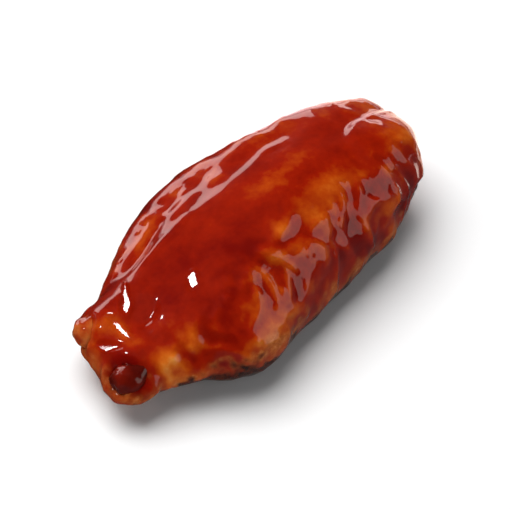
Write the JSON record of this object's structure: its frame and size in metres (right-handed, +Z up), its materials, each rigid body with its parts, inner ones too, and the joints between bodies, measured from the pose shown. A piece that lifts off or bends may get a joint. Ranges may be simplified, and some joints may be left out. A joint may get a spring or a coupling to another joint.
{
  "type": "chicken wing",
  "caption": "Glazed chicken wing flat: the plump two-bone middle joint, with both bones' heads at its cut wrist end.",
  "frame": {"origin": "on the resting surface, under the middle of the bounding box", "axes": "+X along the wing from the wrist end to the elbow end, +Z up out of the skin side, +Y towards the radius, the thinner bone"},
  "size_m": [0.0876, 0.0438, 0.0258],
  "materials": {
    "glazed_skin": "cooked skin under a thick, wet, translucent red-brown barbecue glaze",
    "glazed_bone": "bone end caps under the same wet glaze, darker where it pools"
  },
  "bodies": {
    "root": {"meat": "glazed_skin", "ulna": "glazed_bone", "radius": "glazed_bone"}
  },
  "joints": []
}
